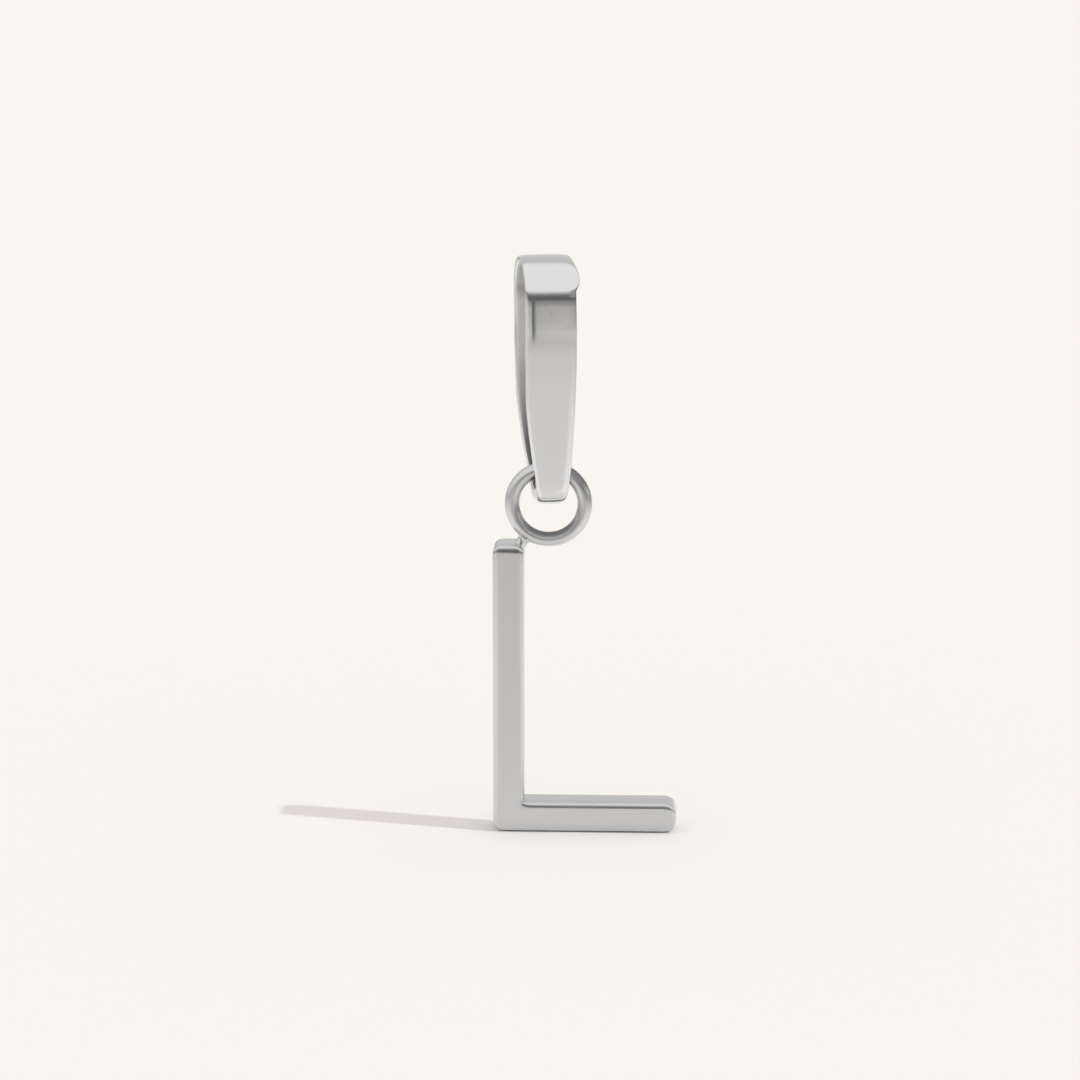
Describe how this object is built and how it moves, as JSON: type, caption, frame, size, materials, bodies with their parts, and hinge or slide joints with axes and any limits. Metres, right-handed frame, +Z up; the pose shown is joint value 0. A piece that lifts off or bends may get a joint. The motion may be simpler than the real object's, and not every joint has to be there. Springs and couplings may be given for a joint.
{
  "type": "initial pendant",
  "caption": "Letter L charm pendant of polished silver: a slim block capital soldered to a wire ring, which hangs in a folded strip bail that tapers to its foot.",
  "frame": {"origin": "inner top of the bail, where the chain bears, on the bail's middle plane and the letter's", "axes": "+Z up, against gravity as it hangs; +X to the right of the letter as it is read; the letter's front faces -Y"},
  "size_m": [0.0083, 0.0037, 0.0266],
  "materials": {
    "letter_silver": "polished silver with faint handling scratches",
    "bail_silver": "polished silver strip, brighter than the letter"
  },
  "bodies": {
    "bail": {"bail": "bail_silver"},
    "letter": {"letter_with_ring": "letter_silver"}
  },
  "joints": [
    {"name": "letter_swing", "type": "hinge", "parent": "bail", "child": "letter", "pos_m": [0.00016, 0, -0.00937], "axis": [1, 0, 0], "range_deg": [-45, 45]}
  ]
}
